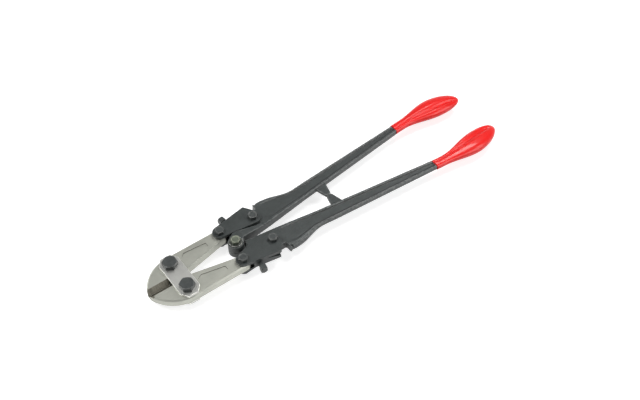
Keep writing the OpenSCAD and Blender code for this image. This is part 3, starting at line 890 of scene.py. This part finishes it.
class MadeGrips(Operator):
    """Make the coated grips: a leaf with a valley along each face"""

    bl_idname = "bolt_cutters.grips"
    bl_label = "Grips"

    def execute(self, context):
        settings = context.scene.bolt_cutter_grips
        for side in SIDES:
            node = f"grip_{side}"
            rings = self.rings(node, 1 if side == "left" else -1, settings)
            grip = object_from(loft(rings), f"{node}_coating", dipped_vinyl)
            shade(grip, 70)
            settle(grip, f"arm_{side}", "grip_coating", node)
        return {"FINISHED"}

    def outline(self, node):
        """Stations along a grip, with the place and half size of its section at each."""
        points = np.array([vertex.co for vertex in frame["nodes"][node].data.vertices])
        stations = np.unique(np.round(points[:, 0], 5))
        rows = []
        for x in stations:
            ring = points[np.abs(points[:, 0] - x) < 0.02 * MM]
            low, high = ring.min(0), ring.max(0)
            rows.append((x, (low[1] + high[1]) / 2, (high[1] - low[1]) / 2, (high[2] - low[2]) / 2))
        rows = np.array(rows)
        widest = np.maximum.accumulate(rows[:, 3])
        solid = (rows[:, 3] > 0.6 * widest) | (rows[:, 0] > rows[:, 0].max() - 30 * MM)
        return rows[solid]

    def rings(self, node, outward, settings):
        rows = self.outline(node)
        mouth, tip = rows[0, 0], rows[-1, 0]
        length = tip - mouth
        along = np.concatenate([[0, 0.25 * MM, 0.6 * MM, 1.2 * MM], 2 * MM + (length - 2 * MM) * np.sin(
            np.linspace(0, math.pi / 2, GRIP_RINGS))])
        angles = np.arange(GRIP_AROUND) * 2 * math.pi / GRIP_AROUND
        rings = []
        for d in along[:-1]:
            middle, half_w, half_t = (np.interp(mouth + d, rows[:, 0], rows[:, k]) for k in (1, 2, 3))
            lip = settings.lip * (1 - math.sqrt(1 - (1 - min(1, d / settings.lip)) ** 2))
            half_w, half_t = half_w - lip, half_t - lip
            across = np.sign(np.cos(angles)) * np.abs(np.cos(angles)) ** 0.85
            up = np.sign(np.sin(angles)) * np.abs(np.sin(angles)) ** 0.85
            near = np.clip(1 - np.abs(across - settings.valley_place) / settings.valley_share, 0, 1)
            swell = smoothstep((d - 16 * MM) / (45 * MM)) * smoothstep((length - 5 * MM - d) / (16 * MM))
            depth = (0.22 + 0.78 * swell) * settings.valley_depth * min(1, (length - d) / (12 * MM))
            height = np.abs(up) * half_t
            height = height - np.minimum(depth * near ** 1.3, height * 0.62)
            rings.append(np.stack([
                np.full(len(angles), mouth + d), middle + outward * across * half_w,
                MID_Z + np.sign(up) * height], 1))
        return rings


# ---------------------------------------------------------------- stage


class MadeStage(Operator):
    """Set the pale floor, the soft lamps and the camera"""

    bl_idname = "bolt_cutters.stage"
    bl_label = "Stage"

    def execute(self, context):
        settings = context.scene.bolt_cutter_stage
        self.floor()
        self.world(context.scene)
        self.lamps(context.scene)
        self.camera(context.scene, settings)
        context.scene.view_settings.view_transform = "Standard"
        return {"FINISHED"}

    def seen_share(self, tree):
        """1 on camera, mirror and glass rays, and 0 on the rays that light the tool."""
        path = tree.nodes.new("ShaderNodeLightPath")
        total = path.outputs["Is Camera Ray"]
        for kind in ("Is Glossy Ray", "Is Transmission Ray"):
            largest = tree.nodes.new("ShaderNodeMath")
            largest.operation = "MAXIMUM"
            tree.links.new(total, largest.inputs[0])
            tree.links.new(path.outputs[kind], largest.inputs[1])
            total = largest.outputs["Value"]
        return total

    def floor(self):
        reach, around = 6.0, 64
        mesh = bpy.data.meshes.new("floor")
        ring = [(reach * math.cos(a), reach * math.sin(a), -0.2 * MM)
                for a in (2 * math.pi * i / around for i in range(around))]
        mesh.from_pydata(ring, [], [tuple(range(around))])
        material = bpy.data.materials.new("pale_floor")
        material.use_nodes = True
        tree = material.node_tree
        matte = tree.nodes["Principled BSDF"]
        matte.inputs["Base Color"].default_value = (FLOOR_GREY, FLOOR_GREY, FLOOR_GREY, 1)
        matte.inputs["Roughness"].default_value = 0.9
        matte.inputs["Specular IOR Level"].default_value = 0.0
        glow = tree.nodes.new("ShaderNodeEmission")
        scaled = tree.nodes.new("ShaderNodeMath")
        scaled.operation = "MULTIPLY"
        scaled.inputs[1].default_value = FLOOR_GLOW
        tree.links.new(self.seen_share(tree), scaled.inputs[0])
        tree.links.new(scaled.outputs["Value"], glow.inputs["Strength"])
        added = tree.nodes.new("ShaderNodeAddShader")
        tree.links.new(matte.outputs["BSDF"], added.inputs[0])
        tree.links.new(glow.outputs["Emission"], added.inputs[1])
        tree.links.new(added.outputs["Shader"], tree.nodes["Material Output"].inputs["Surface"])
        mesh.materials.append(material)
        floor = bpy.data.objects.new("floor", mesh)
        bpy.context.scene.collection.objects.link(floor)

    def world(self, scene):
        world = bpy.data.worlds.new("studio")
        world.use_nodes = True
        scene.world = world
        tree = world.node_tree
        background = tree.nodes["Background"]
        background.inputs["Color"].default_value = (1, 1, 1, 1)
        direction = tree.nodes.new("ShaderNodeSeparateXYZ")
        sky = tree.nodes.new("ShaderNodeTexCoord")
        tree.links.new(sky.outputs["Generated"], direction.inputs["Vector"])
        overhead = tree.nodes.new("ShaderNodeMapRange")
        overhead.interpolation_type = "SMOOTHSTEP"
        limits = (("From Min", 0.1), ("From Max", 0.62), ("To Min", 1.0), ("To Max", SKY_SEEN_OVERHEAD))
        for name, value in limits:
            overhead.inputs[name].default_value = value
        tree.links.new(direction.outputs["Z"], overhead.inputs["Value"])
        strength = tree.nodes.new("ShaderNodeMapRange")
        strength.inputs["To Min"].default_value = SKY_LIGHT
        tree.links.new(self.seen_share(tree), strength.inputs["Value"])
        tree.links.new(overhead.outputs["Result"], strength.inputs["To Max"])
        tree.links.new(strength.outputs["Result"], background.inputs["Strength"])

    def lamps(self, scene):
        for name, place, size, power in LAMPS:
            light = bpy.data.lights.new(name, "AREA")
            light.shape = "SQUARE"
            light.size = size
            light.energy = power
            lamp = bpy.data.objects.new(name, light)
            lamp.location = place
            lamp.rotation_euler = (-Vector(place)).to_track_quat("-Z", "Y").to_euler()
            scene.collection.objects.link(lamp)

    def camera(self, scene, settings):
        data = bpy.data.cameras.new("view")
        data.sensor_width = 36
        data.lens = settings.lens
        data.clip_start, data.clip_end = 0.05, 50
        camera = bpy.data.objects.new("view", data)
        az, el = settings.azimuth, settings.elevation
        back = Vector((math.sin(az) * math.cos(el), -math.cos(az) * math.cos(el), math.sin(el)))
        camera.location = Vector(settings.aim) + back * settings.distance
        camera.rotation_euler = (-back).to_track_quat("-Z", "Y").to_euler()
        scene.collection.objects.link(camera)
        scene.camera = camera


# ---------------------------------------------------------------- add-on


MAKERS = (MadeJaws, MadePlates, MadeBolts, MadeAdjusters, MadeHandles, MadeGrips, MadeStage)


class BoltCutterPanel(Panel):
    """Lists the pieces of the bolt cutters and their settings"""

    bl_idname = "VIEW3D_PT_bolt_cutters"
    bl_label = "Bolt Cutters"
    bl_space_type = "VIEW_3D"
    bl_region_type = "UI"
    bl_category = "Bolt Cutters"

    def draw(self, context):
        for maker in MAKERS:
            self.layout.operator(maker.bl_idname)
        for name, group in SETTINGS.items():
            box = self.layout.box()
            for setting in group.__annotations__:
                box.prop(getattr(context.scene, name), setting)


def register():
    for name, group in SETTINGS.items():
        bpy.utils.register_class(group)
        setattr(bpy.types.Scene, name, PointerProperty(type=group))
    for entry in (*MAKERS, BoltCutterPanel):
        bpy.utils.register_class(entry)


def unregister():
    for entry in (BoltCutterPanel, *reversed(MAKERS)):
        bpy.utils.unregister_class(entry)
    for name, group in reversed(SETTINGS.items()):
        delattr(bpy.types.Scene, name)
        bpy.utils.unregister_class(group)


def main():
    register()
    bpy.ops.bolt_cutters.jaws()
    bpy.ops.bolt_cutters.plates()
    bpy.ops.bolt_cutters.bolts()
    bpy.ops.bolt_cutters.adjusters()
    bpy.ops.bolt_cutters.handles()
    bpy.ops.bolt_cutters.grips()
    bpy.ops.bolt_cutters.stage()


if __name__ == "__main__":
    main()
